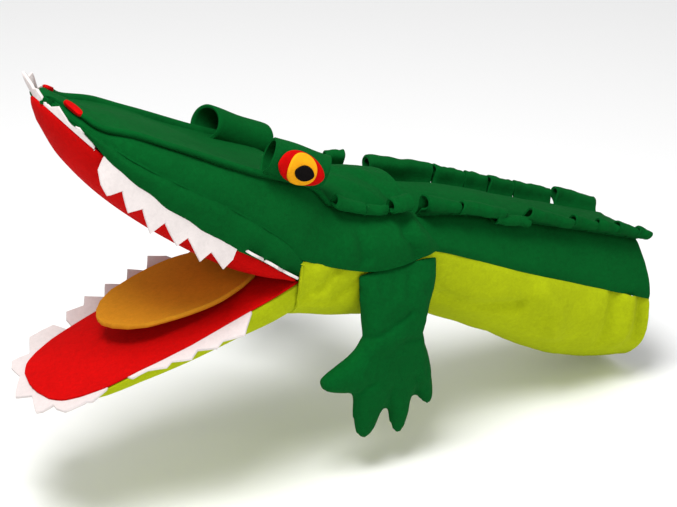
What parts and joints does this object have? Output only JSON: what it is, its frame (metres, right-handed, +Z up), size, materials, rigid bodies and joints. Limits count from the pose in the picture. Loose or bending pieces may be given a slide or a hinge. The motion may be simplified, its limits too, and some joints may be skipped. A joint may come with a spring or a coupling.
{
  "type": "moving mouth hand puppet",
  "caption": "Felt crocodile glove puppet: long sleeve for the arm, opening toothed mouth with tongue, rolled eyes, pleated back frills and two soft hanging forelegs.",
  "frame": {"origin": "centre of the arm opening, at the sleeve's rear edge", "axes": "+X backwards out of the sleeve, the snout points to -X, +Z up, the animal's left is -Y"},
  "size_m": [0.496, 0.2512, 0.314],
  "materials": {
    "dark_green_felt": "matt brushed felt",
    "lime_felt": "matt brushed felt",
    "red_felt": "matt brushed felt",
    "white_felt": "matt pressed felt",
    "tongue_felt": "matt stiff felt",
    "orange_felt": "matt felt",
    "black_felt": "matt felt",
    "stiff_board": "matt sheet",
    "wadding": "loose fibre",
    "elastic": "woven elastic"
  },
  "bodies": {
    "torso": {"back_panel": "dark_green_felt", "side_panel_left": "dark_green_felt", "side_panel_right": "dark_green_felt", "belly_panel": "lime_felt", "back_frill_left": "dark_green_felt", "back_frill_right": "dark_green_felt"},
    "head": {"head_top_panel": "dark_green_felt", "head_side_panel_left": "dark_green_felt", "head_side_panel_right": "dark_green_felt", "lip_gusset_left": "dark_green_felt", "lip_gusset_right": "dark_green_felt", "throat_panel": "lime_felt", "palate_lining": "red_felt", "palate_pad": "wadding", "palate_board": "stiff_board", "snout_wadding": "wadding", "finger_strap": "elastic", "upper_side_teeth_left": "white_felt", "upper_side_teeth_right": "white_felt", "upper_rear_teeth_left": "white_felt", "upper_rear_teeth_right": "white_felt", "upper_front_teeth": "white_felt", "head_frill_left": "dark_green_felt", "head_frill_right": "dark_green_felt", "eye_roll_left": "dark_green_felt", "eye_rim_left": "red_felt", "eye_disc_left": "orange_felt", "eye_pupil_left": "black_felt", "nostril_left": "red_felt", "eye_roll_right": "dark_green_felt", "eye_rim_right": "red_felt", "eye_disc_right": "orange_felt", "eye_pupil_right": "black_felt", "nostril_right": "red_felt"},
    "jaw": {"jaw_lining": "red_felt", "jaw_board": "stiff_board", "jaw_underside": "lime_felt", "thumb_strap": "elastic", "lower_front_teeth": "white_felt", "lower_side_teeth_left": "white_felt", "lower_side_teeth_right": "white_felt"},
    "tongue": {"tongue": "tongue_felt"},
    "foreleg_left": {"foreleg_skin_left": "dark_green_felt", "foreleg_stuffing_left": "wadding"},
    "foreleg_right": {"foreleg_skin_right": "dark_green_felt", "foreleg_stuffing_right": "wadding"}
  },
  "joints": [
    {"name": "neck_nod", "type": "hinge", "parent": "torso", "child": "head", "pos_m": [-0.225, 0, 0.104], "axis": [0, 1, 0], "range_deg": [-12, 15]},
    {"name": "jaw_hinge", "type": "hinge", "parent": "head", "child": "jaw", "pos_m": [-0.303, 0, 0.104], "axis": [0, 1, 0], "range_deg": [-8, 42], "deforming": ["palate_pad", "palate_lining", "upper_side_teeth_left", "upper_side_teeth_right"]},
    {"name": "tongue_lift", "type": "hinge", "parent": "jaw", "child": "tongue", "pos_m": [-0.32269, 0, 0.09976], "axis": [0, 1, 0], "range_deg": [-9, 3]},
    {"name": "foreleg_left_swing", "type": "hinge", "parent": "torso", "child": "foreleg_left", "pos_m": [-0.23, -0.055, 0.103], "axis": [-1, 0, 0], "range_deg": [0, 80]},
    {"name": "foreleg_right_swing", "type": "hinge", "parent": "torso", "child": "foreleg_right", "pos_m": [-0.23, 0.055, 0.103], "axis": [1, 0, 0], "range_deg": [-72, 8]}
  ],
  "couplings": [
    {"joint": "tongue_lift", "follows": "jaw_hinge", "ratio": -0.18}
  ]
}
